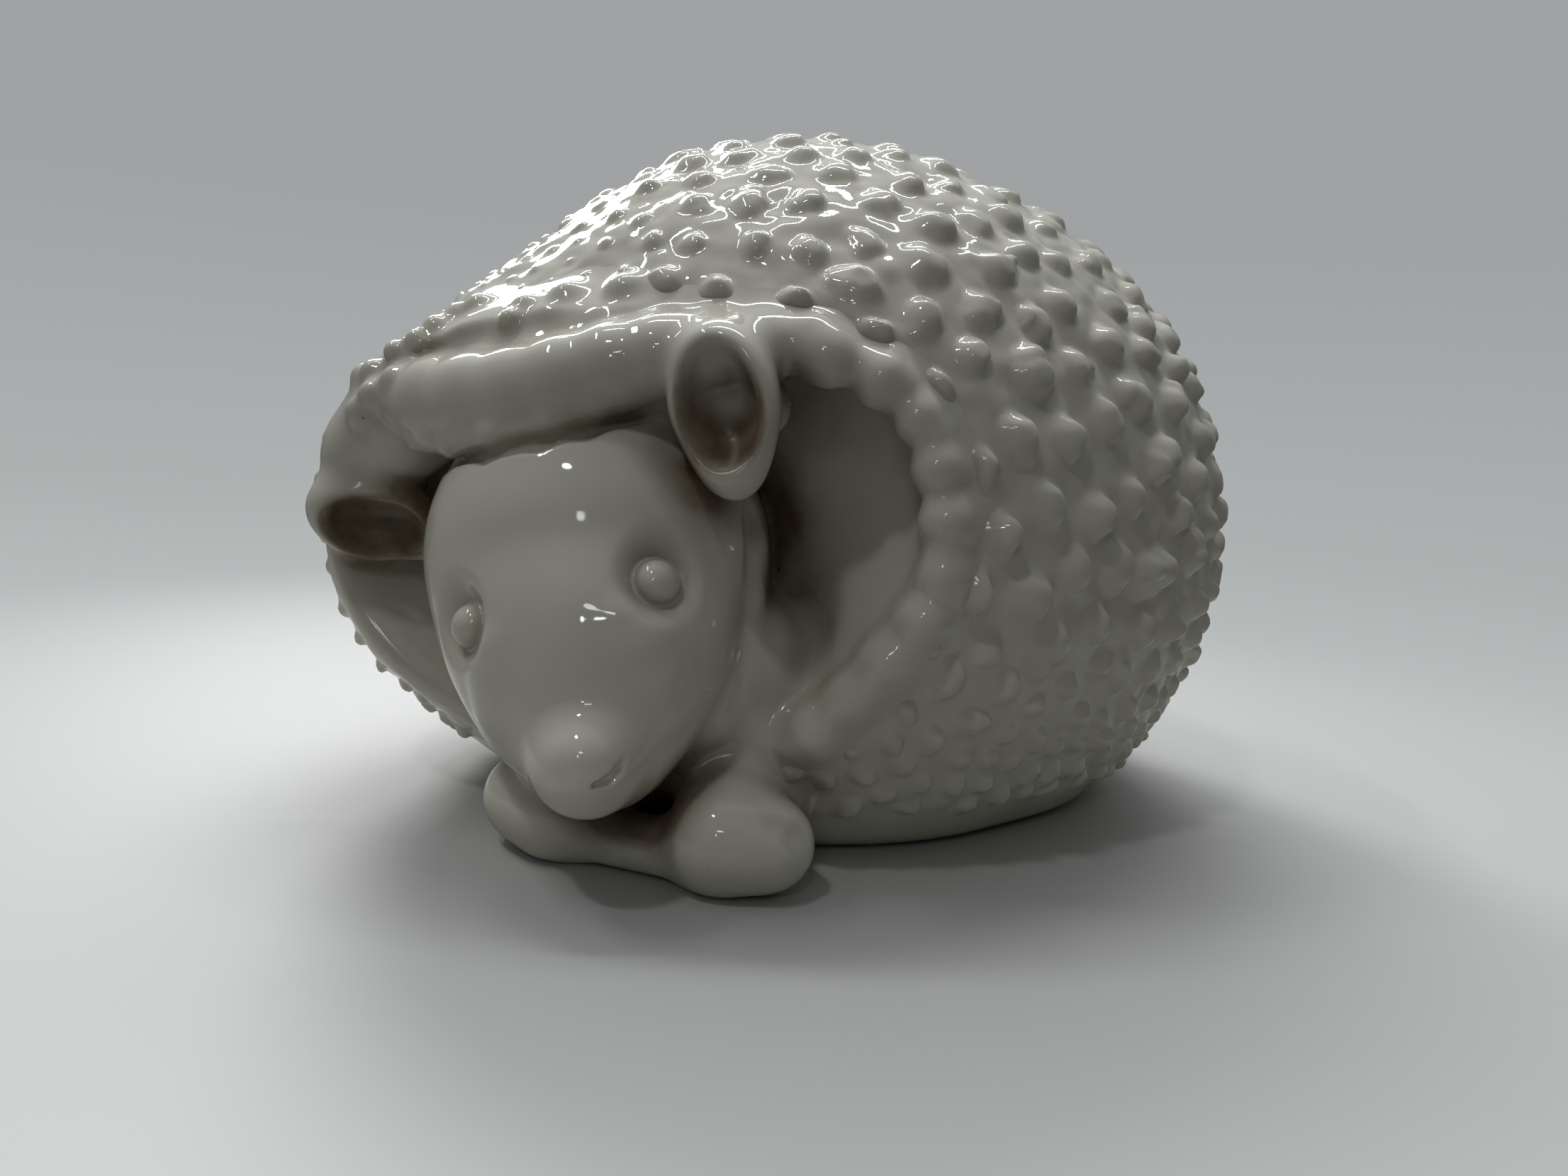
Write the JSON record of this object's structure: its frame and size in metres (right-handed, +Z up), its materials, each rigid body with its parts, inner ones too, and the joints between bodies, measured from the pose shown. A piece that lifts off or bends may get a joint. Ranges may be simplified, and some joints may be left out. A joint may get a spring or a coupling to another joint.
{
  "type": "hedgehog figurine",
  "caption": "Curled hedgehog ornament in glossy white porcelain: round knobbed coat, smooth rolled hem over the forehead, pointed face, ears and front paws, flat underside.",
  "frame": {"origin": "on the table plane, under the middle of the object's bounding box", "axes": "+Z up; the animal looks towards -Y with its left side on +X"},
  "size_m": [0.0992, 0.1072, 0.0761],
  "materials": {
    "white_glaze": "glossy white porcelain glaze with grey shade and brown dust in its hollows",
    "bare_foot": "unglazed matt porcelain, wiped clean for the kiln shelf"
  },
  "bodies": {
    "root": {"foot_plate": "bare_foot", "coat_shell": "white_glaze", "face_bowl": "white_glaze", "hood_roll": "white_glaze", "hem_knobs": "white_glaze", "head_shell": "white_glaze", "nose": "white_glaze", "throat": "white_glaze", "paw_web": "white_glaze", "left_eye": "white_glaze", "right_eye": "white_glaze", "left_ear": "white_glaze", "right_ear": "white_glaze", "left_front_paw": "white_glaze", "right_front_paw": "white_glaze", "quills_crown": "white_glaze", "quills_brow": "white_glaze", "quills_rump": "white_glaze", "quills_left_flank": "white_glaze", "quills_right_flank": "white_glaze"}
  },
  "joints": []
}
